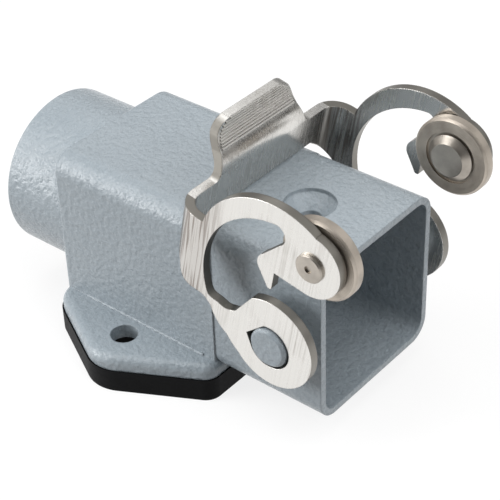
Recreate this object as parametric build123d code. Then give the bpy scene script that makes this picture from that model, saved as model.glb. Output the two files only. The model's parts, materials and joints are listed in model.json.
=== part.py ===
"""Angled housing of a small square heavy-duty connector, with its locking lever open.

Millimetres, +X out of the mating socket, +Z up. The origin is the centre of the two flange
holes on the underside of the gasket, which lies on the panel.
"""
from build123d import *
from math import cos, radians
import os

# Sizes read from the photo, scaled by the 26.4 mm socket of this housing size

SOCKET_OUTER = 26.4      # square outside of the socket
SOCKET_WALL = 1.1
SOCKET_CORNER_R = 3.4
TOP_Z = 30.7             # flat top of socket and body
RIM_X = 35.0
BODY_W = 26.8
BODY_FRONT_X = 15.2
BODY_REAR_X = -15.9
BODY_WALL = 1.3
REAR_WALL = 2.2
REAR_EDGE_R = 0.8

# Flange and gasket

HOLE_SPACING = 34.0
HOLE_D = 4.3
TIP_R = 6.0
FRONT_CORNER = (13.5, 13.7, 2.5)    # x, y and radius
REAR_CORNER = (-11.5, 12.5, 4.5)
FLANGE_T = 2.4
FLANGE_EDGE_R = 1.4
GASKET_T = 3.8
GASKET_OVER = 0.25        # the gasket stands out round the flange

# Round cable entry

ENTRY_D = 26.2
ENTRY_Z = 17.55
ENTRY_END_X = -28.1
ENTRY_EDGE = 0.4
THREAD_BORE_D = 20.0     # full diameter of the M20 x 1.5 thread

# Screw recess in the top

SCREW_X = 23.1
SCREW_HEAD_D = 7.8
SCREW_WALL = 0.6
SCREW_DEPTH = 2.4
SCREW_HOLE_D = 3.2
SCREW_PAD_D = 10.4
SCREW_PAD_T = 1.1        # metal left under the cone

# Pegs that carry the lever

PIVOT_X = 28.7
PIVOT_Z = 17.9
PEG_D = 6.2
PEG_CHAMFER = 0.4
PEG_OUT = 0.55           # how far a peg stands out of its eye
PEG_CLEARANCE = 0.08     # at the flat of the eye's hole
HOLE_PLAY = 0.4          # and round the rest of it
COLLAR_D = 8.8
COLLAR_GAP = 0.1

# Lever, one bent sheet; u runs forward and v up from the pivot, before it is leaned back

SHEET = 1.4
LEAN = 11.3              # degrees the open lever leans forward
ARM_OUT = 18.1           # outer face of the arms from the middle
EYE_OUT = 16.9           # the eyes are set inwards
JOG_U = (-10.6, -7.4)    # where the set lies
BEND_R = 4.0             # outside radius of the rear bends
PLATE_U = -17.3          # front face of the cross plate
PLATE_LOW = 10.0
SHOULDER_V = 15.5
BAND_LOW = 2.9
HOOP = (-0.74, 12.9, 12.9)      # u, v and radius of the outside of the hoop
WINDOW = (0.83, 10.16, 12.95)   # and of its inside
LOBE = (4.4, 19.75, 4.9)        # end that carries the roller
EYE = (0.0, 0.75, 7.3)
MOUTH_TOP = 14.85
HOOK_TIP_V = 11.9
HOLE_FLAT = 140.6        # direction of the flat in the eye's hole, in degrees from u
NOTCH_OPEN = 35.0        # angle that the notch below the flat takes of the hole

# Tab

TAB_TOP_V = 23.0
TAB_FOOT_HALF = 9.9
TAB_HALF = 8.6
TAB_TOP_HALF = 7.9
TAB_CORNER_R = 3.0
TAB_FLARE = 3.3          # height of the sloping foot above the shoulders
FOOT_R = 1.5
TAB_LOW_R = 5.0          # front face radius where it bends back
TAB_HIGH_R = 5.15        # and where it bends upright again
TAB_BEND = 43.6
TAB_CURL = 5.0

# Rollers and rivets

RIVET_U, RIVET_V = 4.55, 19.6
ROLLER_D = 12.2
ROLLER_T = 1.9
ROLLER_EDGE = 0.35
ROLLER_RECESS_D = 8.2
ROLLER_RECESS = 0.3
SHANK_D = 4.4
RUN_CLEARANCE = 0.05
SIDE_PLAY = 0.05
SPACER = 0.25
SPACER_D = 6.0
HEAD_D = 7.2
HEAD_TOP_D = 5.2
HEAD_H = 0.9
TENON_D = 3.6
UPSET_D = 4.3
UPSET_H = 0.55
DIMPLE_D = 1.1

FLANGE_Z = GASKET_T
FLANGE_TOP = FLANGE_Z + FLANGE_T
SOCKET_Z = TOP_Z - SOCKET_OUTER / 2
CAVITY_X = (BODY_REAR_X + REAR_WALL, BODY_FRONT_X - BODY_WALL)
CAVITY_HALF = SOCKET_OUTER / 2 - SOCKET_WALL
ARM_IN = ARM_OUT - SHEET
BEND_U = PLATE_U - SHEET + BEND_R
REACH = HOOP[1] + 2 * HOOP[2]    # past every edge of the lever
PIVOT = Pos(PIVOT_X, 0, PIVOT_Z) * Rot(0, LEAN, 0)


def along_x(sketch, x0, x1):
    """Extrude a sketch drawn as (y, z) from x0 to x1."""
    plane = Plane((x0, 0, 0), x_dir=(0, 1, 0), z_dir=(1, 0, 0))
    return extrude(plane * sketch, x1 - x0)


def disc_y(d, u, v, y0, y1):
    """Cylinder along Y between y0 and y1."""
    plane = Plane((u, y0, v), x_dir=(1, 0, 0), z_dir=(0, 1, 0))
    return extrude(plane * Circle(d / 2), y1 - y0)


def box(x0, x1, y0, y1, z0, z1):
    return Pos((x0 + x1) / 2, (y0 + y1) / 2, (z0 + z1) / 2) * Box(x1 - x0, y1 - y0, z1 - z0)


def both_sides(shape):
    return shape + mirror(shape, Plane.XZ)


def flange_sketch(over=0.0):
    """Long six-sided plate outline, rounded round the two holes."""
    rounds = Sketch() + [Pos(0, s * HOLE_SPACING / 2) * Circle(TIP_R + over) for s in (-1, 1)]
    for x, y, r in (FRONT_CORNER, REAR_CORNER):
        rounds += [Pos(x, s * y) * Circle(r + over) for s in (-1, 1)]
    return make_hull(rounds.edges())


def flange_holes(z0, z1):
    hole = Cylinder(HOLE_D / 2, z1 - z0, align=(Align.CENTER, Align.CENTER, Align.MIN))
    return both_sides(Pos(0, HOLE_SPACING / 2, z0) * hole)


def bottom_window(z0, z1):
    """Opening from the body down to the panel."""
    x0, x1 = CAVITY_X
    shape = RectangleRounded(x1 - x0, 2 * CAVITY_HALF, 2.0)
    return extrude(Pos((x0 + x1) / 2, 0, z0) * shape, z1 - z0)


def body():
    shape = Pos(0, (FLANGE_Z + TOP_Z) / 2) * Rectangle(BODY_W, TOP_Z - FLANGE_Z)
    shape = fillet(shape.vertices().group_by(Axis.Y)[-1], SOCKET_CORNER_R)
    block = along_x(shape, BODY_REAR_X, BODY_FRONT_X)
    rear = block.faces().sort_by(Axis.X)[0].edges() - block.edges().group_by(Axis.Z)[0]
    return fillet(rear, REAR_EDGE_R)


def screw_cut():
    top = Pos(SCREW_X, 0, TOP_Z - SCREW_WALL) * Cylinder(
        SCREW_HEAD_D / 2, SCREW_WALL + 1, align=(Align.CENTER, Align.CENTER, Align.MIN))
    cone_h = SCREW_DEPTH - SCREW_WALL
    cone = Pos(SCREW_X, 0, TOP_Z - SCREW_DEPTH) * Cone(
        SCREW_HOLE_D / 2, SCREW_HEAD_D / 2, cone_h, align=(Align.CENTER, Align.CENTER, Align.MIN))
    hole = Pos(SCREW_X, 0, TOP_Z - SCREW_DEPTH) * Cylinder(
        SCREW_HOLE_D / 2, 3 * SCREW_PAD_T, align=(Align.CENTER, Align.CENTER, Align.CENTER))
    return top + cone + hole


def peg():
    """Cast peg on the far side, with the collar that holds the eye off the wall."""
    side = SOCKET_OUTER / 2
    collar = disc_y(COLLAR_D, PIVOT_X, PIVOT_Z, side - 0.5, EYE_OUT - SHEET - COLLAR_GAP)
    pin = disc_y(PEG_D, PIVOT_X, PIVOT_Z, side - 0.5, EYE_OUT + PEG_OUT)
    return collar + chamfer(pin.edges().group_by(Axis.Y)[-1], PEG_CHAMFER)


def housing():
    square = Pos(0, SOCKET_Z) * RectangleRounded(SOCKET_OUTER, SOCKET_OUTER, SOCKET_CORNER_R)
    inner = SOCKET_OUTER - 2 * SOCKET_WALL
    hollow = Pos(0, SOCKET_Z) * RectangleRounded(inner, inner, SOCKET_CORNER_R - SOCKET_WALL)
    flange = extrude(Pos(0, 0, FLANGE_Z) * flange_sketch(), FLANGE_T)
    flange = fillet(flange.edges().group_by(Axis.Z)[-1], FLANGE_EDGE_R)
    entry = along_x(Pos(0, ENTRY_Z) * Circle(ENTRY_D / 2), ENTRY_END_X, BODY_REAR_X + REAR_EDGE_R)
    entry = chamfer(entry.edges().sort_by(Axis.X)[0], ENTRY_EDGE)
    shell = body() + along_x(square, 0, RIM_X) + flange + entry + both_sides(peg())
    shell -= along_x(hollow, CAVITY_X[0], RIM_X)
    shell -= bottom_window(FLANGE_Z, SOCKET_Z)
    pad = Pos(SCREW_X, 0, TOP_Z - SCREW_DEPTH - SCREW_PAD_T) * Cylinder(
        SCREW_PAD_D / 2, SCREW_DEPTH, align=(Align.CENTER, Align.CENTER, Align.MIN))
    shell += pad
    shell -= screw_cut()
    shell -= along_x(Pos(0, ENTRY_Z) * Circle(THREAD_BORE_D / 2), ENTRY_END_X, CAVITY_X[0])
    return shell - flange_holes(FLANGE_Z, FLANGE_TOP)


def flange_gasket():
    pad = extrude(flange_sketch(GASKET_OVER), GASKET_T)
    return pad - bottom_window(0, GASKET_T) - flange_holes(0, GASKET_T)


def circle_at(u, v, r):
    return Pos(u, v) * Circle(r)


def half_plane(u0, u1, v0, v1):
    return Pos((u0 + u1) / 2, (v0 + v1) / 2) * Rectangle(u1 - u0, v1 - v0)


def arm_opening():
    """Inside of the hoop: hook, window and the mouth above the eye."""
    wu, wv, wr = WINDOW
    hook_u = -0.7
    notch = (hook_u, MOUTH_TOP)
    tip = (hook_u, HOOK_TIP_V)
    tip_back = (hook_u - 0.9, HOOK_TIP_V + 0.2)
    belly_low = (-3.4, 14.4)
    belly_high = (-3.0, 16.8)
    end_low = (-0.6, 19.9)
    end_high = (-1.6, wv + (wr ** 2 - (wu + 1.6) ** 2) ** 0.5)
    left = (-11.3, 4.6)
    floor_left = (-9.6, 2.9)
    floor = (-8.4, 2.1)
    floor_right = (-6.3, 2.9)
    rim = (-4.2, EYE[1] + (EYE[2] ** 2 - 4.2 ** 2) ** 0.5)
    out_u = 16.0
    eye_right = (EYE[2] * 0.96, EYE[1] + EYE[2] * 0.28)
    path = [
        Line((out_u, MOUTH_TOP), notch),
        Line(notch, tip),
        ThreePointArc(tip, (hook_u - 0.5, HOOK_TIP_V - 0.15), tip_back),
        Line(tip_back, belly_low),
        ThreePointArc(belly_low, (-3.65, 15.6), belly_high),
        Line(belly_high, end_low),
        ThreePointArc(end_low, (-0.15, 22.0), end_high),
        ThreePointArc(end_high, (wu - wr * 0.8, wv + wr * 0.6), left),
        ThreePointArc(left, (-10.6, 3.5), floor_left),
        Line(floor_left, floor),
        ThreePointArc(floor, (-7.2, 2.05), floor_right),
        ThreePointArc(floor_right, (-5.5, 4.4), rim),
        ThreePointArc(rim, (EYE[0], EYE[1] + EYE[2]), eye_right),
        Line(eye_right, (out_u, eye_right[1])),
        Line((out_u, eye_right[1]), (out_u, MOUTH_TOP)),
    ]
    return make_face(path)


def arm_outline():
    hu, hv, hr = HOOP
    lu, lv, lr = LOBE
    hoop = circle_at(hu, hv, hr) & half_plane(BEND_U, lu, hv - 4, 40)
    end = circle_at(lu, lv, lr) + half_plane(-4, lu, MOUTH_TOP - 4, lv)
    band = half_plane(BEND_U, -6, BAND_LOW, SHOULDER_V)
    eye = circle_at(*EYE)
    root, waist = (-11.8, BAND_LOW), (-10.0, BAND_LOW - 1.6)
    heel = (-4.8, EYE[1] - (EYE[2] ** 2 - 4.8 ** 2) ** 0.5)
    neck = make_face([
        Line((BEND_U, BAND_LOW), root), ThreePointArc(root, (-10.75, BAND_LOW - 0.5), waist),
        ThreePointArc(waist, (-7.6, -2.6), heel),
        Polyline([heel, (0, 0), (-4, 8), (BEND_U, 8), (BEND_U, BAND_LOW)])])
    return hoop + end + band + eye + neck - arm_opening()


def eye_sheet():
    """Sheet seen from above where it steps inwards to the eye, near side."""
    u0, u1 = JOG_U
    outer, inner = -ARM_OUT, -EYE_OUT
    return make_face(Polyline([
        (u0, outer), (u1, inner), (REACH, inner), (REACH, inner + SHEET), (u1, inner + SHEET),
        (u0, outer + SHEET), (-REACH, outer + SHEET), (-REACH, outer)], close=True))


def eye_hole():
    """Hole for the peg: round, with a flat that bears on the peg and a notch below the flat."""
    radius = PEG_D / 2 + HOLE_PLAY
    bearing = PEG_D / 2 + PEG_CLEARANCE
    foot = Vector(bearing, 0).rotate(Axis.Z, HOLE_FLAT)
    corner = Vector(bearing / cos(radians(HOLE_FLAT)), 0)
    low = Vector(-radius, 0).rotate(Axis.Z, NOTCH_OPEN)
    notch = make_face(Polyline([foot, corner, low, foot]))
    over = half_plane(bearing, 4 * radius, -4 * radius, 4 * radius)
    return circle_at(0, 0, radius) + notch - Rot(0, 0, HOLE_FLAT) * over


def arm():
    """Flat of the near arm with its eye."""
    outline = arm_outline()
    split = HOOK_TIP_V - 2.5
    thick = extrude(Plane.XZ * outline, REACH, both=True)
    upper = box(-REACH, REACH, -ARM_OUT, -ARM_IN, split, REACH)
    lower = extrude(Pos(0, 0, -REACH) * eye_sheet(), split + REACH)
    shape = thick & (upper + lower)
    shape -= extrude(Plane.XZ * eye_hole(), REACH, both=True)
    return shape - disc_y(TENON_D, RIVET_U, RIVET_V, -REACH, 0)


def bend():
    """Near rear bend, a quarter round between the arm and the cross plate."""
    cu, cy = BEND_U, -(ARM_OUT - BEND_R)
    ring = Pos(cu, cy) * (Circle(BEND_R) - Circle(BEND_R - SHEET))
    ring &= Pos(cu - BEND_R / 2, cy - BEND_R / 2) * Rectangle(BEND_R, BEND_R)
    return extrude(Pos(0, 0, BAND_LOW) * ring, SHOULDER_V - BAND_LOW)


def lower_cut():
    """Cut below the cross plate that runs down round the bend to the arm, far side."""
    far = 0.6 * ARM_OUT
    across = Plane((BEND_U, ARM_OUT - BEND_R, 0), x_dir=(1, 1, 0), z_dir=(1, -1, 0))
    top, knee, foot = (-3.2, PLATE_LOW), (1.2, PLATE_LOW - 4.6), (3.4, BAND_LOW)
    shape = make_face([
        Line((-2 * far, PLATE_LOW), top), Line(top, knee),
        ThreePointArc(knee, (2.2, BAND_LOW + 0.65), foot),
        Polyline([foot, (foot[0], BAND_LOW - 2), (-2 * far, BAND_LOW - 2), (-2 * far, PLATE_LOW)])])
    return extrude(across * shape, far, both=True)


def tab_line(u, low_r, high_r):
    """Side line of the plate and tab: straight, bent back, then bent upright."""
    straight = Line((u, BAND_LOW), (u, SHOULDER_V))
    low = JernArc(straight @ 1, (0, 1), low_r, TAB_BEND)
    high = JernArc(low @ 1, low % 1, high_r, -(TAB_BEND + TAB_CURL))
    end = Line(high @ 1, high @ 1 + high % 1 * TAB_TOP_V)
    return [straight, low, high, end]


def plate_and_tab():
    """Cross plate and the tab, a strip bent back and then up."""
    front = tab_line(PLATE_U, TAB_LOW_R, TAB_HIGH_R)
    back = tab_line(PLATE_U - SHEET, TAB_LOW_R - SHEET, TAB_HIGH_R + SHEET)
    ends = [Line(front[0] @ 0, back[0] @ 0), Line(front[-1] @ 1, back[-1] @ 1)]
    profile = make_face(front + back + ends)
    strip = extrude(Plane.XZ * profile, ARM_OUT, both=True)
    half = ARM_OUT - BEND_R
    flare = SHOULDER_V + TAB_FLARE
    shape = make_face(Polyline([
        (half, BAND_LOW), (half, SHOULDER_V), (TAB_FOOT_HALF, SHOULDER_V), (TAB_HALF, flare),
        (TAB_TOP_HALF, TAB_TOP_V), (-TAB_TOP_HALF, TAB_TOP_V), (-TAB_HALF, flare),
        (-TAB_FOOT_HALF, SHOULDER_V), (-half, SHOULDER_V), (-half, BAND_LOW)], close=True))
    corner = min(TAB_CORNER_R, 0.9 * (TAB_TOP_V - flare))
    shape = fillet(shape.vertices().group_by(Axis.Y)[-1], corner)
    feet = [v for v in shape.vertices() if abs(abs(v.X) - TAB_FOOT_HALF) < 0.01]
    shape = fillet(feet, FOOT_R)
    depth = SHEET + 2 * (TAB_LOW_R + TAB_HIGH_R)
    return strip & along_x(shape, PLATE_U - depth, PLATE_U + SHEET)


def locking_lever():
    side = arm() + bend()
    lever = both_sides(side) + plate_and_tab() - both_sides(lower_cut())
    return PIVOT * lever.solid()


def ring_y(d_out, d_in, y0, y1):
    return disc_y(d_out, RIVET_U, RIVET_V, y0, y1) - disc_y(d_in, RIVET_U, RIVET_V, y0, y1)


ROLLER_OUT = ARM_IN - SPACER - SIDE_PLAY
ROLLER_IN = ROLLER_OUT - ROLLER_T
HEAD_Y = ROLLER_IN - SIDE_PLAY


def roller():
    """Flat steel roller, far side."""
    wheel = disc_y(ROLLER_D, RIVET_U, RIVET_V, ROLLER_IN, ROLLER_OUT)
    wheel = chamfer(wheel.edges(), ROLLER_EDGE)
    wheel -= disc_y(SHANK_D + 2 * RUN_CLEARANCE, RIVET_U, RIVET_V, ROLLER_IN, ROLLER_OUT)
    return wheel - ring_y(ROLLER_RECESS_D, HEAD_D - 1.4, ROLLER_IN, ROLLER_IN + ROLLER_RECESS)


def rivet():
    """Headed rivet that carries the roller, far side."""
    plane = Plane((RIVET_U, HEAD_Y, RIVET_V), x_dir=(1, 0, 0), z_dir=(0, -1, 0))
    head = plane * Cone(HEAD_D / 2, HEAD_TOP_D / 2, HEAD_H, align=(Align.CENTER, Align.CENTER, Align.MIN))
    shank = disc_y(SHANK_D, RIVET_U, RIVET_V, HEAD_Y, ARM_IN)
    spacer = disc_y(SPACER_D, RIVET_U, RIVET_V, ARM_IN - SPACER, ARM_IN)
    tenon = disc_y(TENON_D, RIVET_U, RIVET_V, ARM_IN, ARM_OUT)
    upset = disc_y(UPSET_D, RIVET_U, RIVET_V, ARM_OUT, ARM_OUT + UPSET_H)
    upset = chamfer(upset.edges().sort_by(Axis.Y)[-1], 0.2)
    dimple = disc_y(DIMPLE_D, RIVET_U, RIVET_V, ARM_OUT + UPSET_H - 0.3, ARM_OUT + UPSET_H)
    return head + shank + spacer + tenon + upset - dimple


def build():
    left_roller, left_rivet = roller(), rivet()
    return {
        "housing": housing(),
        "flange_gasket": flange_gasket(),
        "locking_lever": locking_lever(),
        "roller_left": PIVOT * left_roller,
        "roller_right": PIVOT * mirror(left_roller, Plane.XZ),
        "rivet_left": PIVOT * left_rivet,
        "rivet_right": PIVOT * mirror(left_rivet, Plane.XZ),
    }


os.makedirs("parts", exist_ok=True)
for name, shape in build().items():
    export_step(shape, f"parts/{name}.step")
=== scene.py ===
"""Looks of an angled connector housing with its locking lever open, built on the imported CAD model.

Laid out as an add-on: the sizes and colours are property groups, each group of pieces has its
operator, and a panel lists them. Run as a script, it makes all of them in order.
"""

import json
import math

import bpy
from bpy.props import FloatProperty, FloatVectorProperty, IntProperty, PointerProperty
from mathutils import Matrix, Vector


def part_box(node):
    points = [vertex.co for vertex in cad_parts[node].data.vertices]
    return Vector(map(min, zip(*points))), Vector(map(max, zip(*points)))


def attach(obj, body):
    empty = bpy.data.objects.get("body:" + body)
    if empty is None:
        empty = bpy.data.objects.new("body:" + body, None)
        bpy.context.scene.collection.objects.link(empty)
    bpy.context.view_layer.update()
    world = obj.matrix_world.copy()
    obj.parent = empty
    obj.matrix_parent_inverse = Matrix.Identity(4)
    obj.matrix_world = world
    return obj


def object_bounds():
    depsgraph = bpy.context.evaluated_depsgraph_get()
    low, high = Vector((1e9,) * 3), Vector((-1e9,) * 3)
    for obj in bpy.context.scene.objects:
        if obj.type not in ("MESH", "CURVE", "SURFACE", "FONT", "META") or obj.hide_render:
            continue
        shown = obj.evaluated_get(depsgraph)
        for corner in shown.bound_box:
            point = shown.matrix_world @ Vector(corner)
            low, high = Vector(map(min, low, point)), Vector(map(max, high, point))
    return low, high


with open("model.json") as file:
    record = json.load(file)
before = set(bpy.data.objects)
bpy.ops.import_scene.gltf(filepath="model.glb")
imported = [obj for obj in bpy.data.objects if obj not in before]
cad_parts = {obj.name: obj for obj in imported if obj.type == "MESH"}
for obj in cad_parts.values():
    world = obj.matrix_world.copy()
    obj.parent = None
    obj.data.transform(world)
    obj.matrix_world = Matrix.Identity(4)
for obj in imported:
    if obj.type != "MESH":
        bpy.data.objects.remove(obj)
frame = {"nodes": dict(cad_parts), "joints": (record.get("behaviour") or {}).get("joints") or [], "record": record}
CAD_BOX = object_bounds()
NODES = frame["nodes"]
MOUNTS = {mount["name"]: mount for mount in frame["record"]["mounts"]}
JOINTS = {joint["name"]: joint for joint in frame["joints"]}
MM = 0.001

# How far the open lever leans forward
LEAN = math.radians(11.3)
# Share of its brightness that turned steel keeps where it is stained
STAINED = 0.55
# Half the floor's side in metres, and its drop below the gasket in millimetres
FLOOR_HALF = 2.0
FLOOR_DROP = 0.02
# Widths of the thread's ridge at its foot and crest as shares of the pitch, and the steps in a turn
FOOT_SHARE, CREST_SHARE, TURN_STEPS = 0.86, 0.25, 64
# What the lamps aim at and their distance from it, in metres
AIM = Vector((0.006, 0.0, 0.02))
LAMP_DISTANCE = 0.6
# Name, azimuth and elevation in degrees, side in metres, the power it follows and its share of it
LAMPS = (
    ("key_low_lamp", -45, 12, 0.3, "key", 0.65),
    ("key_high_lamp", -45, 45, 0.3, "key", 0.35),
    ("top_lamp", 0, 88, 0.45, "top", 1.0),
    ("back_lamp", 135, 45, 0.6, "back", 1.0),
    ("right_lamp", 92, 35, 0.5, "back", 2.8),
    ("rear_left_lamp", -135, 45, 0.3, "back", 0.6),
)

bl_info = {
    "name": "Angled connector housing",
    "version": (1, 0, 0),
    "blender": (4, 5, 0),
    "location": "3D View > Sidebar > Connector",
    "description": "Finishes the housing, gasket, lever, rollers and rivets, and sets them in a studio",
    "category": "Object",
}


def linear(hex_colour):
    """Linear RGB of an sRGB hex colour."""
    out = []
    for i in (1, 3, 5):
        c = int(hex_colour[i:i + 2], 16) / 255
        out.append(c / 12.92 if c <= 0.04045 else ((c + 0.055) / 1.055) ** 2.4)
    return tuple(out)


def add(tree, kind, inputs=None, **settings):
    """Add a node. inputs maps a socket's name or number to a value or to another node's output."""
    node = tree.nodes.new(kind)
    for key, value in settings.items():
        setattr(node, key, value)
    for key, value in (inputs or {}).items():
        if isinstance(value, bpy.types.NodeSocket):
            tree.links.new(value, node.inputs[key])
        else:
            node.inputs[key].default_value = value
    return node


def colour_of(rgb):
    return (*rgb, 1.0)


# Sizes and colours


class HousingFinish(bpy.types.PropertyGroup):
    paint: FloatVectorProperty(
        name="Paint", description="Grey-blue of the powder coat", subtype="COLOR",
        default=linear("#98A2A9"), min=0, max=1)
    paint_thin: FloatVectorProperty(
        name="Thin paint", description="Paler tone where the coat is thin", subtype="COLOR",
        default=linear("#A5AEB4"), min=0, max=1)
    peel_size: FloatProperty(
        name="Peel size", description="Width of one bump of the orange peel, in millimetres",
        default=0.88, min=0.1, max=5)
    peel_depth: FloatProperty(
        name="Peel depth", description="Height of the orange peel, in millimetres",
        default=0.25, min=0, max=0.5)
    edge: FloatProperty(
        name="Edge", description="Radius that the coat gives to sharp edges, in millimetres",
        default=0.3, min=0, max=2)
    roughness: FloatProperty(
        name="Roughness", description="Roughness of the coat", default=0.27, min=0, max=1,
        subtype="FACTOR")


class RootSizes(bpy.types.PropertyGroup):
    fillet: FloatProperty(
        name="Fillet", description="Size of the root fillet between body and flange, in millimetres",
        default=0.32, min=0.05, max=1)
    side: FloatProperty(
        name="Side", description="Distance of the body's side from the middle, in millimetres",
        default=13.4)
    top: FloatProperty(
        name="Top", description="Height of the flange's top face, in millimetres", default=6.2)
    rear: FloatProperty(
        name="Rear end", description="Where the fillets end at the rear, in millimetres", default=-11.2)
    front: FloatProperty(
        name="Front end", description="Where the fillets end at the front, in millimetres", default=13.0)


class ThreadSizes(bpy.types.PropertyGroup):
    pitch: FloatProperty(
        name="Pitch", description="Pitch of the entry's thread, in millimetres",
        default=1.5, min=0.5, max=4)
    full_r: FloatProperty(
        name="Full radius", description="Radius at the thread's roots, in metres",
        default=MOUNTS["cable_entry"]["dims"]["r_mm"] * MM, subtype="DISTANCE", unit="LENGTH")
    depth: FloatProperty(
        name="Depth", description="Height of the thread's ridge, in millimetres",
        default=0.81, min=0.1, max=2)
    turns: FloatProperty(
        name="Turns", description="Number of turns", default=8.0, min=1, max=20)
    inset: FloatProperty(
        name="Inset", description="Where the first turn starts inside the mouth, in millimetres",
        default=0.9)
    sunk: FloatProperty(
        name="Sunk", description="How far the ridge's foot sits in the wall, in millimetres", default=0.02)


class LeverFinish(bpy.types.PropertyGroup):
    steel: FloatVectorProperty(
        name="Steel", description="Tint of the stainless sheet", subtype="COLOR",
        default=linear("#D2D0CC"), min=0, max=1)
    steel_dull: FloatVectorProperty(
        name="Dull steel", description="Tint in the rolled streaks", subtype="COLOR",
        default=linear("#9E9992"), min=0, max=1)
    # Partly painted shade: this darker tint on the punched edges and rear bends is partly the duller punched edge
    # and partly dims the bright reflection these faces catch
    cut: FloatVectorProperty(
        name="Cut edge", description="Tint of the punched edges and the rear bends", subtype="COLOR",
        default=linear("#807D77"), min=0, max=1)
    torn: FloatProperty(
        name="Torn", description="Roughness that punching adds to the cut edges",
        default=0.14, min=0, max=1)
    drawn: FloatVectorProperty(
        name="Drawn lines", description="Tint of the lines that the bending leaves", subtype="COLOR",
        default=linear("#756B64"), min=0, max=1)
    drawn_full: FloatProperty(
        name="Lines to", description="How far forward the lines are full, in millimetres", default=11.5)
    drawn_end: FloatProperty(
        name="Lines end", description="Where they have faded out, in millimetres", default=15.0)
    pressed: FloatProperty(
        name="Pressed", description="Roughness that pressing adds to the grip ridges", default=0.13,
        min=0, max=1)
    arm_from: FloatProperty(
        name="Arms from", description="Distance from the middle where the arms begin, in metres",
        default=0.0153, subtype="DISTANCE", unit="LENGTH")
    rolled: FloatProperty(
        name="Rolled edge", description="Radius that punching gives the edges, in millimetres",
        default=0.2, min=0, max=0.7)
    grain: FloatProperty(
        name="Grain", description="Width of one streak, in millimetres", default=0.28, min=0.05, max=2)
    roughness: FloatProperty(
        name="Roughness", description="Roughness of the sheet", default=0.23, min=0, max=1,
        subtype="FACTOR")


class RidgeSizes(bpy.types.PropertyGroup):
    count: IntProperty(
        name="Ridges", description="Number of grip ridges across the tab", default=10, min=2, max=40)
    height: FloatProperty(
        name="Height", description="How far a ridge stands out, in millimetres",
        default=0.16, min=0.01, max=1)
    width: FloatProperty(
        name="Width", description="Width of a ridge, in millimetres", default=0.33, min=0.05, max=1)
    low_half: FloatProperty(
        name="Lower half length", description="Half the lowest ridge, in millimetres", default=8.1)
    high_half: FloatProperty(
        name="Upper half length", description="Half the length before the corners, in millimetres",
        default=7.5)
    corner: FloatProperty(
        name="Corner", description="Radius of the tab's corners, in millimetres", default=3.0)
    bend_at: FloatVectorProperty(
        name="Bend",
        description="Centre of the tab's upper bend from the pivot, lever upright, in millimetres",
        default=(-14.95, 0.0, 22.50))
    bend_r: FloatProperty(
        name="Bend radius", description="Radius of the bend's front face, in millimetres", default=5.15)
    start: FloatProperty(
        name="Start", description="Direction of the lowest ridge from the bend's centre",
        default=math.radians(221), subtype="ANGLE", unit="ROTATION")
    sweep: FloatProperty(
        name="Sweep", description="Turn from the lowest ridge to the highest",
        default=math.radians(-44), subtype="ANGLE", unit="ROTATION")
    top: FloatProperty(
        name="Top", description="Height of the tab's end above the bend's centre, in millimetres",
        default=0.5)


class TurnedSteel(bpy.types.PropertyGroup):
    roller: FloatVectorProperty(
        name="Roller", description="Warm tint of the rollers", subtype="COLOR",
        default=linear("#B6ADA2"), min=0, max=1)
    rivet: FloatVectorProperty(
        name="Rivet", description="Tint of the rivets", subtype="COLOR",
        default=linear("#ADA69D"), min=0, max=1)
    groove: FloatProperty(
        name="Groove", description="Spacing of the rollers' turning marks, in millimetres", default=0.22,
        min=0.05, max=2)
    fine_groove: FloatProperty(
        name="Fine groove", description="Spacing of the rivets' turning marks, in millimetres",
        default=0.154, min=0.05, max=2)
    roller_roughness: FloatProperty(
        name="Roller roughness", description="Roughness of the rollers", default=0.46, min=0, max=1,
        subtype="FACTOR")
    rivet_roughness: FloatProperty(
        name="Rivet roughness", description="Roughness of the rivets", default=0.34, min=0, max=1,
        subtype="FACTOR")


class GasketFinish(bpy.types.PropertyGroup):
    rubber: FloatVectorProperty(
        name="Rubber", description="Black of the moulded rubber", subtype="COLOR",
        default=linear("#0A0A0B"), min=0, max=1)
    bloom: FloatVectorProperty(
        name="Bloom", description="Tint of the dusty bloom on it", subtype="COLOR",
        default=linear("#1C1D1F"), min=0, max=1)
    shine: FloatProperty(
        name="Shine", description="Strength of its highlight", default=0.08, min=0, max=1,
        subtype="FACTOR")


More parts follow.
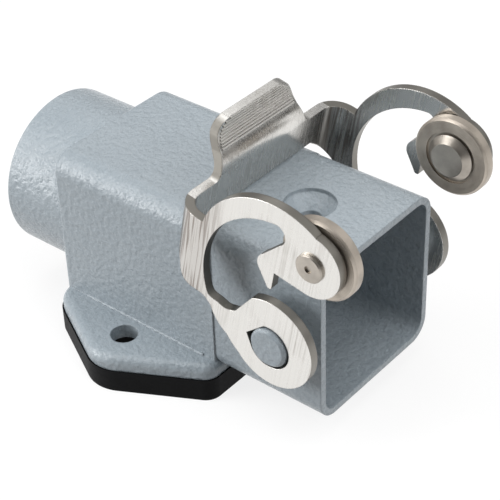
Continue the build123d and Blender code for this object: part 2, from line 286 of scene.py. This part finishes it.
class StudioSettings(bpy.types.PropertyGroup):
    floor: FloatVectorProperty(
        name="Floor", description="Colour of the floor", subtype="COLOR",
        default=linear("#7C7C7C"), min=0, max=1)
    glow: FloatProperty(
        name="Glow", description="How bright the camera sees the floor, without its lit part",
        default=0.82, min=0, max=1)
    ambient: FloatProperty(
        name="Ambient", description="Brightness of the room on the object", default=0.1, min=0, max=2)
    wall: FloatVectorProperty(
        name="Wall", description="Direction of the bright wall that metal mirrors",
        default=(-0.75, 0.35, 0.3))
    wall_dark: FloatProperty(
        name="Dark side", description="What metal mirrors on the side away from the wall", default=0.03,
        min=0, max=1)
    wall_bright: FloatProperty(
        name="Bright side", description="What metal mirrors on the wall's side", default=0.4, min=0, max=1)
    key: FloatProperty(
        name="Key", description="Power of the two lamps at the camera's left", default=3.35, min=0,
        unit="POWER")
    top: FloatProperty(
        name="Top", description="Power of the lamp overhead", default=1.6, min=0, unit="POWER")
    back: FloatProperty(
        name="Back", description="Power of the lamps behind and at the right",
        default=0.6, min=0, unit="POWER")
    azimuth: FloatProperty(
        name="Azimuth", description="The camera's direction round the object",
        default=math.radians(40.493), subtype="ANGLE", unit="ROTATION")
    elevation: FloatProperty(
        name="Elevation", description="The camera's height above the horizon",
        default=math.radians(36.184), subtype="ANGLE", unit="ROTATION")
    roll: FloatProperty(
        name="Roll", description="The camera's turn about its view", default=math.radians(-2.044),
        subtype="ANGLE", unit="ROTATION")
    eye: FloatVectorProperty(
        name="Eye", description="Where the camera stands", default=(0.133452, -0.142873, 0.154660),
        subtype="TRANSLATION", unit="LENGTH")
    lens: FloatProperty(
        name="Lens", description="Focal length on a 36 mm frame, in millimetres", default=110.18)


class ConnectorLooks(bpy.types.PropertyGroup):
    housing: PointerProperty(type=HousingFinish)
    roots: PointerProperty(type=RootSizes)
    thread: PointerProperty(type=ThreadSizes)
    lever: PointerProperty(type=LeverFinish)
    ridges: PointerProperty(type=RidgeSizes)
    turned: PointerProperty(type=TurnedSteel)
    gasket: PointerProperty(type=GasketFinish)
    studio: PointerProperty(type=StudioSettings)


# Materials


def new_material(name, inputs=None):
    """A material with its Principled shader, whose even values are set on its own sockets."""
    mat = bpy.data.materials.new(name)
    mat.use_nodes = True
    shader = mat.node_tree.nodes["Principled BSDF"]
    for key, value in (inputs or {}).items():
        shader.inputs[key].default_value = value
    return mat, mat.node_tree, shader


def powder_coated_casting(looks):
    """Powder coat on die-cast alloy: satin, with an orange peel that breaks up every highlight."""
    mat, tree, shader = new_material("powder_coated_casting")
    where = add(tree, "ShaderNodeTexCoord").outputs["Object"]
    # The peel of such a coat is 0.5 to 1 mm wide
    peel = add(tree, "ShaderNodeTexNoise", {
        "Vector": where, "Scale": 1 / (looks.peel_size * MM), "Detail": 3.0, "Roughness": 0.5})
    # The coat's thickness drifts over 9 mm
    cloud = add(tree, "ShaderNodeTexNoise", {"Vector": where, "Scale": 1 / (9 * MM), "Detail": 3.0})
    tone = add(tree, "ShaderNodeMapRange", {0: cloud.outputs["Fac"], 1: 0.35, 2: 0.65, 3: 0.0, 4: 0.3})
    pits = add(tree, "ShaderNodeMapRange", {0: peel.outputs["Fac"], 1: 0.3, 2: 0.7, 3: 0.0, 4: 0.2})
    both = add(tree, "ShaderNodeMath", {0: tone.outputs[0], 1: pits.outputs[0]}, operation="ADD")
    colour = add(tree, "ShaderNodeMix", {
        0: both.outputs[0], 6: colour_of(looks.paint), 7: colour_of(looks.paint_thin)}, data_type="RGBA")
    gloss = add(tree, "ShaderNodeMapRange", {
        0: peel.outputs["Fac"], 1: 0.3, 2: 0.7, 3: looks.roughness - 0.05, 4: looks.roughness + 0.08})
    edge = add(tree, "ShaderNodeBevel", {"Radius": looks.edge * MM}, samples=4)
    bump = add(tree, "ShaderNodeBump", {
        "Height": peel.outputs["Fac"], "Strength": 1.0, "Distance": looks.peel_depth * MM,
        "Normal": edge.outputs[0]})
    tree.links.new(colour.outputs[2], shader.inputs["Base Color"])
    tree.links.new(gloss.outputs[0], shader.inputs["Roughness"])
    tree.links.new(bump.outputs[0], shader.inputs["Normal"])
    return mat


def moulded_rubber(looks):
    """Black rubber from a mould: matte, with a faint grain and a dusty bloom."""
    mat, tree, shader = new_material("moulded_black_rubber", {"Specular IOR Level": looks.shine})
    where = add(tree, "ShaderNodeTexCoord").outputs["Object"]
    grain = add(tree, "ShaderNodeTexNoise", {"Vector": where, "Scale": 1 / (0.5 * MM), "Detail": 3.0})
    bloom = add(tree, "ShaderNodeTexNoise", {"Vector": where, "Scale": 1 / (6 * MM), "Detail": 4.0})
    fog = add(tree, "ShaderNodeMapRange", {0: bloom.outputs["Fac"], 1: 0.4, 2: 0.75, 3: 0.0, 4: 0.25})
    colour = add(tree, "ShaderNodeMix", {
        0: fog.outputs[0], 6: colour_of(looks.rubber), 7: colour_of(looks.bloom)}, data_type="RGBA")
    gloss = add(tree, "ShaderNodeMapRange", {0: grain.outputs["Fac"], 3: 0.48, 4: 0.68})
    bump = add(tree, "ShaderNodeBump", {
        "Height": grain.outputs["Fac"], "Strength": 1.0, "Distance": 0.02 * MM})
    tree.links.new(colour.outputs[2], shader.inputs["Base Color"])
    tree.links.new(gloss.outputs[0], shader.inputs["Roughness"])
    tree.links.new(bump.outputs[0], shader.inputs["Normal"])
    return mat


def rolled_stainless(name, looks, pressed=0.0):
    """Rolled stainless sheet: bright, with fine streaks along the rolling direction.

    pressed adds to the roughness where a die has worked the sheet.
    """
    mat, tree, shader = new_material(name, {"Metallic": 1.0})
    sheet = add(tree, "ShaderNodeTexCoord").outputs
    where = sheet["Object"]
    level = add(tree, "ShaderNodeMapping", {
        "Vector": where, "Rotation": (0.0, -LEAN, 0.0)}, vector_type="POINT")
    # The streaks are 14 mm long and show through in smudges 5 mm wide
    across, along = 1 / (looks.grain * MM), 1 / (14 * MM)
    stretch = add(tree, "ShaderNodeMapping", {
        "Vector": level.outputs[0], "Scale": (across, across, along)}, vector_type="POINT")
    streaks = add(tree, "ShaderNodeTexNoise", {"Vector": stretch.outputs[0], "Scale": 1.0, "Detail": 3.0})
    smudge = add(tree, "ShaderNodeTexNoise", {"Vector": where, "Scale": 1 / (5 * MM), "Detail": 2.0})
    patch = add(tree, "ShaderNodeMapRange", {0: smudge.outputs["Fac"], 1: 0.5, 2: 0.75, 3: 0.08, 4: 0.8})
    worn = add(tree, "ShaderNodeMapRange", {0: streaks.outputs["Fac"], 1: 0.45, 2: 0.7, 3: 0.0, 4: 1.0})
    dull = add(tree, "ShaderNodeMath", {0: worn.outputs[0], 1: patch.outputs[0]}, operation="MULTIPLY")
    colour = add(tree, "ShaderNodeMix", {
        0: dull.outputs[0], 6: colour_of(looks.steel), 7: colour_of(looks.steel_dull)}, data_type="RGBA")
    # The arms face sideways and the tab forwards, so an edge is what faces the other way
    facing = add(tree, "ShaderNodeSeparateXYZ", {0: sheet["Normal"]})
    sideways = add(tree, "ShaderNodeMath", {0: facing.outputs["Y"]}, operation="ABSOLUTE")
    forwards = add(tree, "ShaderNodeMath", {0: 1.0, 1: sideways.outputs[0]}, operation="SUBTRACT")
    place = add(tree, "ShaderNodeSeparateXYZ", {0: where})
    out = add(tree, "ShaderNodeMath", {0: place.outputs["Y"]}, operation="ABSOLUTE")
    on_arm = add(tree, "ShaderNodeMath", {0: out.outputs[0], 1: looks.arm_from}, operation="GREATER_THAN")
    edge = add(tree, "ShaderNodeMix", {
        0: on_arm.outputs[0], 2: sideways.outputs[0], 3: forwards.outputs[0]}, data_type="FLOAT")
    edge = add(tree, "ShaderNodeMapRange", {0: edge.outputs[0], 1: 0.12, 2: 0.6})
    # Partly painted shade: the edge mask also takes in the rear bends, and the darker tint there is partly the
    # duller punched edge and partly dims their bright reflection
    finish = add(tree, "ShaderNodeMix", {
        0: edge.outputs[0], 6: colour.outputs[2], 7: colour_of(looks.cut)}, data_type="RGBA")
    # Bending the sheet over the die has drawn dark lines on the outside of the rear bends
    rear = add(tree, "ShaderNodeSeparateXYZ", {0: level.outputs[0]})
    leaving = add(tree, "ShaderNodeMapRange", {
        0: rear.outputs["X"], 1: looks.drawn_full * MM, 2: looks.drawn_end * MM, 3: 1.0, 4: 0.0})
    turned = add(tree, "ShaderNodeMapRange", {0: forwards.outputs[0], 1: 0.75, 2: 0.9, 3: 1.0, 4: 0.0})
    bend = add(tree, "ShaderNodeMath", {0: leaving.outputs[0], 1: turned.outputs[0]}, operation="MULTIPLY")
    bend = add(tree, "ShaderNodeMath", {0: bend.outputs[0], 1: on_arm.outputs[0]}, operation="MULTIPLY")
    # Each line is 0.42 mm wide and 9 mm long
    wide, tall = 1 / (0.42 * MM), 1 / (9 * MM)
    pulled = add(tree, "ShaderNodeMapping", {
        "Vector": level.outputs[0], "Scale": (wide, wide, tall)}, vector_type="POINT")
    lines = add(tree, "ShaderNodeTexNoise", {"Vector": pulled.outputs[0], "Scale": 1.0, "Detail": 1.0})
    lines = add(tree, "ShaderNodeMapRange", {0: lines.outputs["Fac"], 1: 0.46, 2: 0.62, 3: 0.28, 4: 0.85})
    drawn = add(tree, "ShaderNodeMath", {0: lines.outputs[0], 1: bend.outputs[0]}, operation="MULTIPLY")
    finish = add(tree, "ShaderNodeMix", {
        0: drawn.outputs[0], 6: finish.outputs[2], 7: colour_of(looks.drawn)}, data_type="RGBA")
    torn = add(tree, "ShaderNodeMath", {
        0: edge.outputs[0], 1: looks.torn, 2: pressed}, operation="MULTIPLY_ADD")
    rub = add(tree, "ShaderNodeMapRange", {0: smudge.outputs["Fac"], 1: 0.3, 2: 0.7, 3: -0.04, 4: 0.07})
    base = add(tree, "ShaderNodeMapRange", {
        0: streaks.outputs["Fac"], 1: 0.3, 2: 0.7, 3: looks.roughness - 0.04, 4: looks.roughness + 0.06})
    gloss = add(tree, "ShaderNodeMath", {0: rub.outputs[0], 1: base.outputs[0]}, operation="ADD")
    gloss = add(tree, "ShaderNodeMath", {0: gloss.outputs[0], 1: torn.outputs[0]}, operation="ADD")
    # Punching rolls the edges of the sheet
    rolled = add(tree, "ShaderNodeBevel", {"Radius": looks.rolled * MM}, samples=4)
    bump = add(tree, "ShaderNodeBump", {
        "Height": streaks.outputs["Fac"], "Strength": 1.0, "Distance": 0.002 * MM,
        "Normal": rolled.outputs[0]})
    tree.links.new(finish.outputs[2], shader.inputs["Base Color"])
    tree.links.new(gloss.outputs[0], shader.inputs["Roughness"])
    tree.links.new(bump.outputs[0], shader.inputs["Normal"])
    return mat


def turned_steel(name, tint, groove, axis_at, roughness):
    """Turned steel: rings round the axis, a little warm where it has dulled."""
    mat, tree, shader = new_material(name, {"Metallic": 1.0})
    where = add(tree, "ShaderNodeTexCoord").outputs["Object"]
    centred = add(tree, "ShaderNodeMapping", {
        "Vector": where, "Location": (-axis_at[0], 0.0, -axis_at[2]), "Scale": (1.0, 0.0, 1.0)},
        vector_type="POINT")
    radius = add(tree, "ShaderNodeVectorMath", {0: centred.outputs[0]}, operation="LENGTH")
    rings = add(tree, "ShaderNodeTexNoise", {
        "W": radius.outputs["Value"], "Scale": 1 / (groove * MM), "Detail": 2.0}, noise_dimensions="1D")
    stain = add(tree, "ShaderNodeTexNoise", {"Vector": where, "Scale": 1 / (3 * MM), "Detail": 4.0})
    dull = add(tree, "ShaderNodeMapRange", {0: stain.outputs["Fac"], 1: 0.4, 2: 0.7, 3: 0.0, 4: 0.7})
    colour = add(tree, "ShaderNodeMix", {
        0: dull.outputs[0], 6: colour_of(tint), 7: colour_of([c * STAINED for c in tint])}, data_type="RGBA")
    gloss = add(tree, "ShaderNodeMapRange", {
        0: rings.outputs["Fac"], 1: 0.3, 2: 0.7, 3: roughness - 0.06, 4: roughness + 0.1})
    bump = add(tree, "ShaderNodeBump", {
        "Height": rings.outputs["Fac"], "Strength": 1.0, "Distance": 0.01 * MM})
    tree.links.new(colour.outputs[2], shader.inputs["Base Color"])
    tree.links.new(gloss.outputs[0], shader.inputs["Roughness"])
    tree.links.new(bump.outputs[0], shader.inputs["Normal"])
    return mat


def dress(node, mat):
    """Give a CAD node its material."""
    obj = NODES[node]
    if not obj.material_slots:
        obj.data.materials.append(None)
    for slot in obj.material_slots:
        slot.material = mat


# Pieces from geometry nodes


def new_tree(name, sizes):
    """Geometry node tree with named inputs; sizes maps a name to its socket kind."""
    tree = bpy.data.node_groups.new(name, "GeometryNodeTree")
    for label, kind in sizes.items():
        tree.interface.new_socket(label, in_out="INPUT", socket_type="NodeSocket" + kind)
    tree.interface.new_socket("Geometry", in_out="OUTPUT", socket_type="NodeSocketGeometry")
    return tree, tree.nodes.new("NodeGroupInput").outputs


def close_tree(tree, geometry):
    """End a tree in a real mesh with the material that is asked for."""
    real = add(tree, "GeometryNodeRealizeInstances", {"Geometry": geometry})
    inputs = next(n for n in tree.nodes if n.type == "GROUP_INPUT").outputs
    done = add(tree, "GeometryNodeSetMaterial", {
        "Geometry": real.outputs[0], "Material": inputs["Material"]})
    add(tree, "NodeGroupOutput", {0: done.outputs[0]})


def grow(name, tree, sizes, mat, place):
    """Run a tree, keep its result as a plain mesh and put its place into the mesh."""
    seed = bpy.data.objects.new(name + "_seed", bpy.data.meshes.new(name + "_seed"))
    bpy.context.scene.collection.objects.link(seed)
    modifier = seed.modifiers.new(name, "NODES")
    modifier.node_group = tree
    for item in tree.interface.items_tree:
        if item.in_out == "INPUT" and item.name in sizes:
            modifier[item.identifier] = sizes[item.name]
    bpy.context.view_layer.update()
    graph = bpy.context.evaluated_depsgraph_get()
    mesh = bpy.data.meshes.new_from_object(seed.evaluated_get(graph))
    bpy.data.objects.remove(seed)
    mesh.transform(place)
    if not mesh.materials:
        mesh.materials.append(mat)
    piece = bpy.data.objects.new(name, mesh)
    bpy.context.scene.collection.objects.link(piece)
    return piece


def thread_tree():
    """Inside thread: a trapezium ridge swept along a helix."""
    tree, size = new_tree("inside_thread", {
        "Pitch": "Float", "Full Radius": "Float", "Depth": "Float", "Turns": "Float",
        "Material": "Material"})
    half = add(tree, "ShaderNodeMath", {0: size["Depth"], 1: 0.5}, operation="MULTIPLY")
    middle = add(tree, "ShaderNodeMath", {0: size["Full Radius"], 1: half.outputs[0]}, operation="SUBTRACT")
    length = add(tree, "ShaderNodeMath", {0: size["Pitch"], 1: size["Turns"]}, operation="MULTIPLY")
    helix = add(tree, "GeometryNodeCurveSpiral", {
        "Resolution": TURN_STEPS, "Rotations": size["Turns"], "Start Radius": middle.outputs[0],
        "End Radius": middle.outputs[0], "Height": length.outputs[0]})
    level = add(tree, "GeometryNodeSetCurveNormal", {"Curve": helix.outputs[0]}, mode="Z_UP")
    foot = add(tree, "ShaderNodeMath", {0: size["Pitch"], 1: FOOT_SHARE}, operation="MULTIPLY")
    crest = add(tree, "ShaderNodeMath", {0: size["Pitch"], 1: CREST_SHARE}, operation="MULTIPLY")
    section = add(tree, "GeometryNodeCurvePrimitiveQuadrilateral", {
        "Bottom Width": foot.outputs[0], "Top Width": crest.outputs[0], "Offset": 0.0,
        "Height": size["Depth"]}, mode="TRAPEZOID")
    outward = add(tree, "GeometryNodeTransform", {
        "Geometry": section.outputs[0], "Rotation": (0.0, 0.0, math.radians(90))})
    ridge = add(tree, "GeometryNodeCurveToMesh", {
        "Curve": level.outputs[0], "Profile Curve": outward.outputs[0], "Fill Caps": True})
    close_tree(tree, ridge.outputs[0])
    return tree


def fillet_tree():
    """Root fillet: a square bar on its corner along X, half of it sunk in the casting."""
    tree, size = new_tree("root_fillet", {"Length": "Float", "Fillet": "Float", "Material": "Material"})
    end = add(tree, "ShaderNodeCombineXYZ", {"X": size["Length"]})
    line = add(tree, "GeometryNodeCurvePrimitiveLine", {"End": end.outputs[0]})
    section = add(tree, "GeometryNodeCurvePrimitiveCircle", {"Resolution": 4, "Radius": size["Fillet"]})
    bar = add(tree, "GeometryNodeCurveToMesh", {
        "Curve": line.outputs[0], "Profile Curve": section.outputs[0], "Fill Caps": True})
    close_tree(tree, bar.outputs[0])
    return tree


def ridge_tree():
    """Grip ridges: low round bars across the tab at even steps round its bent front."""
    tree, size = new_tree("tab_ridges", {
        "Count": "Int", "Radius": "Float", "Start": "Float", "Sweep": "Float", "Height": "Float",
        "Width": "Float", "Low Half": "Float", "High Half": "Float", "Corner": "Float",
        "Top": "Float", "Material": "Material"})
    arc = add(tree, "GeometryNodeCurveArc", {
        "Resolution": size["Count"], "Radius": size["Radius"], "Start Angle": size["Start"],
        "Sweep Angle": size["Sweep"]}, mode="RADIUS")
    factor = add(tree, "GeometryNodeSplineParameter").outputs["Factor"]
    turn = add(tree, "ShaderNodeMath", {
        0: factor, 1: size["Sweep"], 2: size["Start"]}, operation="MULTIPLY_ADD")
    facing = add(tree, "ShaderNodeCombineXYZ", {"Z": turn.outputs[0]})
    point = add(tree, "GeometryNodeInputPosition").outputs[0]
    height = add(tree, "ShaderNodeSeparateXYZ", {0: point}).outputs["Y"]
    # Near the top the bars are shorter by the rounding of the tab's corners
    knee = add(tree, "ShaderNodeMath", {0: size["Top"], 1: size["Corner"]}, operation="SUBTRACT")
    over = add(tree, "ShaderNodeMath", {0: height, 1: knee.outputs[0]}, operation="SUBTRACT")
    over = add(tree, "ShaderNodeMath", {0: over.outputs[0], 1: 0.0}, operation="MAXIMUM")
    square = add(tree, "ShaderNodeMath", {0: over.outputs[0], 1: 2.0}, operation="POWER")
    corner2 = add(tree, "ShaderNodeMath", {0: size["Corner"], 1: 2.0}, operation="POWER")
    rest = add(tree, "ShaderNodeMath", {0: corner2.outputs[0], 1: square.outputs[0]}, operation="SUBTRACT")
    chord = add(tree, "ShaderNodeMath", {0: rest.outputs[0]}, operation="SQRT")
    lost = add(tree, "ShaderNodeMath", {0: size["Corner"], 1: chord.outputs[0]}, operation="SUBTRACT")
    half = add(tree, "ShaderNodeMapRange", {0: factor, 3: size["Low Half"], 4: size["High Half"]})
    half = add(tree, "ShaderNodeMath", {0: half.outputs[0], 1: lost.outputs[0]}, operation="SUBTRACT")
    stretch = add(tree, "ShaderNodeCombineXYZ", {
        "X": size["Height"], "Y": size["Width"], "Z": half.outputs[0]})
    bar = add(tree, "GeometryNodeMeshCylinder", {"Vertices": 10, "Radius": 1.0, "Depth": 2.0})
    bars = add(tree, "GeometryNodeInstanceOnPoints", {
        "Points": arc.outputs[0], "Instance": bar.outputs["Mesh"], "Rotation": facing.outputs[0],
        "Scale": stretch.outputs[0]})
    close_tree(tree, bars.outputs[0])
    return tree


# Operators


class FinishHousing(bpy.types.Operator):
    """Powder coat on the casting"""
    bl_idname = "connector.finish_housing"
    bl_label = "Finish housing"

    def execute(self, context):
        dress("housing", powder_coated_casting(context.scene.connector.housing))
        return {"FINISHED"}


class FillRoots(bpy.types.Operator):
    """Root fillets where the body's sides meet the flange"""
    bl_idname = "connector.fill_roots"
    bl_label = "Fill roots"

    def execute(self, context):
        sizes = context.scene.connector.roots
        coat = NODES["housing"].material_slots[0].material
        for name, side in (("left", 1), ("right", -1)):
            place = Matrix.Translation(Vector((sizes.rear, side * sizes.side, sizes.top)) * MM)
            root = grow("flange_root_" + name, fillet_tree(), {
                "Length": (sizes.front - sizes.rear) * MM, "Fillet": sizes.fillet * MM, "Material": coat},
                coat, place)
            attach(root, "housing")
        return {"FINISHED"}


class CutThread(bpy.types.Operator):
    """Inside thread of the cable entry, which shows from behind"""
    bl_idname = "connector.cut_thread"
    bl_label = "Cut thread"

    def execute(self, context):
        sizes = context.scene.connector.thread
        mouth = Vector((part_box("housing")[0].x + sizes.inset * MM, 0.0, MOUNTS["cable_entry"]["pos_m"][2]))
        place = Matrix.Translation(mouth) @ Matrix.Rotation(math.radians(90), 4, "Y")
        coat = NODES["housing"].material_slots[0].material
        thread = grow("entry_thread", thread_tree(), {
            "Pitch": sizes.pitch * MM, "Full Radius": sizes.full_r + sizes.sunk * MM,
            "Depth": sizes.depth * MM, "Turns": sizes.turns, "Material": coat}, coat, place)
        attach(thread, "housing")
        return {"FINISHED"}


class FinishGasket(bpy.types.Operator):
    """Rubber of the flange gasket"""
    bl_idname = "connector.finish_gasket"
    bl_label = "Finish gasket"

    def execute(self, context):
        dress("flange_gasket", moulded_rubber(context.scene.connector.gasket))
        return {"FINISHED"}


class FinishLever(bpy.types.Operator):
    """Stainless sheet of the locking lever"""
    bl_idname = "connector.finish_lever"
    bl_label = "Finish lever"

    def execute(self, context):
        dress("locking_lever", rolled_stainless("rolled_stainless_sheet", context.scene.connector.lever))
        return {"FINISHED"}


class AddRidges(bpy.types.Operator):
    """Grip ridges across the front of the lever's tab"""
    bl_idname = "connector.add_ridges"
    bl_label = "Add grip ridges"

    def execute(self, context):
        sizes = context.scene.connector.ridges
        pivot = Vector(JOINTS["lever_swing"]["pos_m"])
        centre = Vector(sizes.bend_at) * MM
        upright = Matrix.Rotation(math.radians(90), 4, "X")
        place = (Matrix.Translation(pivot) @ Matrix.Rotation(LEAN, 4, "Y")
                 @ Matrix.Translation(centre) @ upright)
        looks = context.scene.connector.lever
        steel = rolled_stainless("pressed_stainless_ridges", looks, looks.pressed)
        ridges = grow("tab_ridges", ridge_tree(), {
            "Count": sizes.count, "Radius": sizes.bend_r * MM, "Start": sizes.start,
            "Sweep": sizes.sweep, "Height": sizes.height * MM, "Width": sizes.width / 2 * MM,
            "Low Half": sizes.low_half * MM, "High Half": sizes.high_half * MM,
            "Corner": sizes.corner * MM, "Top": sizes.top * MM, "Material": steel}, steel, place)
        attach(ridges, "lever")
        return {"FINISHED"}


class FinishRollers(bpy.types.Operator):
    """Turned steel of the rollers and rivets"""
    bl_idname = "connector.finish_rollers"
    bl_label = "Finish rollers and rivets"

    def execute(self, context):
        looks = context.scene.connector.turned
        axis_at = JOINTS["roller_left_spin"]["pos_m"]
        roller = turned_steel(
            "turned_roller_steel", looks.roller, looks.groove, axis_at, looks.roller_roughness)
        rivet = turned_steel(
            "turned_rivet_steel", looks.rivet, looks.fine_groove, axis_at, looks.rivet_roughness)
        for side in ("left", "right"):
            dress("roller_" + side, roller)
            dress("rivet_" + side, rivet)
        return {"FINISHED"}


class SetStudio(bpy.types.Operator):
    """Floor, soft lamps and the camera"""
    bl_idname = "connector.set_studio"
    bl_label = "Set studio"

    def lamp(self, name, azimuth, elevation, size, power):
        """Square soft lamp round the object; azimuth is taken as the camera's is."""
        data = bpy.data.lights.new(name, "AREA")
        data.shape, data.size, data.energy = "SQUARE", size, power
        a, e = math.radians(azimuth), math.radians(elevation)
        back = Vector((math.sin(a) * math.cos(e), -math.cos(a) * math.cos(e), math.sin(e)))
        lamp = bpy.data.objects.new(name, data)
        lamp.matrix_world = (Matrix.Translation(AIM + LAMP_DISTANCE * back)
                             @ back.to_track_quat("Z", "Y").to_matrix().to_4x4())
        bpy.context.scene.collection.objects.link(lamp)

    def floor(self, colour, glow_seen):
        """Floor just under the gasket; camera and metal see it bright, and it keeps the shadow."""
        side = FLOOR_HALF
        mesh = bpy.data.meshes.new("floor")
        low = CAD_BOX[0][2] - FLOOR_DROP * MM
        mesh.from_pydata([(-side, -side, low), (side, -side, low), (side, side, low), (-side, side, low)],
                         [], [(0, 1, 2, 3)])
        floor = bpy.data.objects.new("floor", mesh)
        bpy.context.scene.collection.objects.link(floor)
        mat, tree, shader = new_material("pale_floor", {"Roughness": 0.9, "Specular IOR Level": 0.1})
        shader.inputs["Base Color"].default_value = colour_of(colour)
        shader.inputs["Emission Color"].default_value = (1, 1, 1, 1)
        ray = add(tree, "ShaderNodeLightPath").outputs
        seen = add(tree, "ShaderNodeMath", {0: ray["Is Camera Ray"], 1: glow_seen}, operation="MULTIPLY")
        glow = add(tree, "ShaderNodeMath", {
            0: ray["Is Glossy Ray"], 1: seen.outputs[0]}, operation="MAXIMUM")
        tree.links.new(glow.outputs[0], shader.inputs["Emission Strength"])
        mesh.materials.append(mat)

    def room(self, studio):
        """White to the camera, graded to the metal, and a plain grey light on the object."""
        world = bpy.data.worlds.new("room")
        bpy.context.scene.world = world
        world.use_nodes = True
        tree = world.node_tree
        tree.nodes.clear()
        ray = add(tree, "ShaderNodeLightPath").outputs
        # Metal sees a bright wall at the left and a dark room behind the camera
        where = add(tree, "ShaderNodeTexCoord").outputs["Generated"]
        side = add(tree, "ShaderNodeVectorMath", {0: where, 1: studio.wall}, operation="DOT_PRODUCT")
        mirrored = add(tree, "ShaderNodeMapRange", {
            0: side.outputs["Value"], 1: -0.5, 2: 0.7, 3: studio.wall_dark, 4: studio.wall_bright})
        metal = add(tree, "ShaderNodeMix", {
            0: ray["Is Glossy Ray"], 2: studio.ambient, 3: mirrored.outputs[0]}, data_type="FLOAT")
        level = add(tree, "ShaderNodeMath", {
            0: metal.outputs[0], 1: ray["Is Camera Ray"]}, operation="MAXIMUM")
        back = add(tree, "ShaderNodeBackground", {"Color": (1, 1, 1, 1), "Strength": level.outputs[0]})
        add(tree, "ShaderNodeOutputWorld", {0: back.outputs[0]})

    def camera(self, studio):
        data = bpy.data.cameras.new("camera")
        data.lens, data.sensor_width = studio.lens, 36.0
        a, e, r = studio.azimuth, studio.elevation, studio.roll
        back = Vector((math.sin(a) * math.cos(e), -math.cos(a) * math.cos(e), math.sin(e)))
        right = Vector((0, 0, 1)).cross(back).normalized()
        up = back.cross(right)
        turned = (math.cos(r) * right + math.sin(r) * up, math.cos(r) * up - math.sin(r) * right, back)
        camera = bpy.data.objects.new("camera", data)
        camera.matrix_world = Matrix.Translation(studio.eye) @ Matrix(turned).transposed().to_4x4()
        bpy.context.scene.collection.objects.link(camera)
        bpy.context.scene.camera = camera

    def execute(self, context):
        studio = context.scene.connector.studio
        context.scene.view_settings.view_transform = "Standard"
        self.floor(studio.floor, studio.glow)
        self.room(studio)
        powers = {"key": studio.key, "top": studio.top, "back": studio.back}
        for name, azimuth, elevation, size, follows, share in LAMPS:
            self.lamp(name, azimuth, elevation, size, share * powers[follows])
        self.camera(studio)
        return {"FINISHED"}


class ConnectorPanel(bpy.types.Panel):
    bl_label = "Connector housing"
    bl_idname = "VIEW3D_PT_connector"
    bl_space_type = "VIEW_3D"
    bl_region_type = "UI"
    bl_category = "Connector"

    def draw(self, context):
        looks = context.scene.connector
        for operator, group in STEPS:
            self.layout.operator(operator.bl_idname)
            box = self.layout.box()
            for name in getattr(looks, group).bl_rna.properties.keys():
                if name not in ("name", "rna_type"):
                    box.prop(getattr(looks, group), name)


GROUPS = (HousingFinish, RootSizes, ThreadSizes, LeverFinish, RidgeSizes, TurnedSteel, GasketFinish,
          StudioSettings, ConnectorLooks)
STEPS = ((FinishHousing, "housing"), (FillRoots, "roots"), (CutThread, "thread"),
         (FinishGasket, "gasket"), (FinishLever, "lever"), (AddRidges, "ridges"),
         (FinishRollers, "turned"), (SetStudio, "studio"))


def register():
    for group in GROUPS:
        bpy.utils.register_class(group)
    for operator, _ in STEPS:
        bpy.utils.register_class(operator)
    bpy.utils.register_class(ConnectorPanel)
    bpy.types.Scene.connector = PointerProperty(type=ConnectorLooks)


def unregister():
    del bpy.types.Scene.connector
    bpy.utils.unregister_class(ConnectorPanel)
    for operator, _ in reversed(STEPS):
        bpy.utils.unregister_class(operator)
    for group in reversed(GROUPS):
        bpy.utils.unregister_class(group)


def main():
    register()
    bpy.ops.connector.finish_housing()
    bpy.ops.connector.fill_roots()
    bpy.ops.connector.cut_thread()
    bpy.ops.connector.finish_gasket()
    bpy.ops.connector.finish_lever()
    bpy.ops.connector.add_ridges()
    bpy.ops.connector.finish_rollers()
    bpy.ops.connector.set_studio()


if __name__ == "__main__":
    main()
